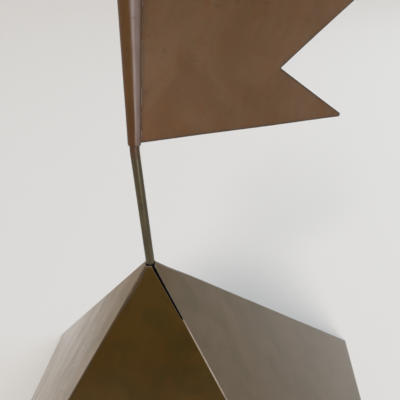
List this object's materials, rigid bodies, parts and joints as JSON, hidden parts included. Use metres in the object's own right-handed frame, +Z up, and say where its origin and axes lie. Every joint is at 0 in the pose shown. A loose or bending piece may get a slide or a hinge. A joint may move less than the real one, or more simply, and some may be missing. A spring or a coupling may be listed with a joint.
{
  "type": "weather vane",
  "caption": "Swallow-tailed metal pennant on a rolled tapered sleeve that turns on a slim rod rising from a hollow sheet-metal pyramid.",
  "frame": {"origin": "centre of the square base, on the ground", "axes": "+Z up, front face of the pyramid towards -Y, +X to the right seen from the front; the pennant points 33.7 degrees from +X towards +Y at rest"},
  "size_m": [0.53, 0.53, 0.6178],
  "materials": {
    "pyramid_brass": "aged olive-brown patina with a satin sheen and fine brushing marks",
    "rod_brass": "dark olive-brown drawn bar with a soft highlight",
    "flag_copper": "warm brown copper patina with soft blotches",
    "sleeve_copper": "dark brown copper patina, rubbed along the middle",
    "bush_brass": "turned bronze, dull",
    "solder": "dull grey soft solder, a little lumpy",
    "brace_steel": "mill steel, lightly rusted",
    "bearing_steel": "bright steel"
  },
  "bodies": {
    "base": {"pyramid_sheet_front_left": "pyramid_brass", "pyramid_sheet_back_right": "pyramid_brass", "seam_solder_front_right": "solder", "seam_solder_back_left": "solder", "foot_strip_front": "brace_steel", "foot_strip_right": "brace_steel", "foot_strip_back": "brace_steel", "foot_strip_left": "brace_steel", "cross_brace_side_to_side": "brace_steel", "cross_brace_front_to_back": "brace_steel", "brace_rivets": "bush_brass", "rod_socket": "brace_steel", "socket_screws": "bearing_steel", "grub_screw": "bearing_steel", "apex_guide_plate": "brace_steel", "rod": "rod_brass", "thrust_ball": "bearing_steel"},
    "vane": {"flag": "flag_copper", "flag_sleeve": "sleeve_copper", "sleeve_solder_near": "solder", "sleeve_solder_far": "solder", "lower_bush": "bush_brass", "upper_bush": "bush_brass", "sleeve_cap": "sleeve_copper", "pivot_cup": "bearing_steel"}
  },
  "joints": [
    {"name": "vane_spin", "type": "hinge", "parent": "base", "child": "vane", "pos_m": [0, 0, 0.485], "axis": [0.087, 0.058, 0.9945], "continuous": true}
  ]
}
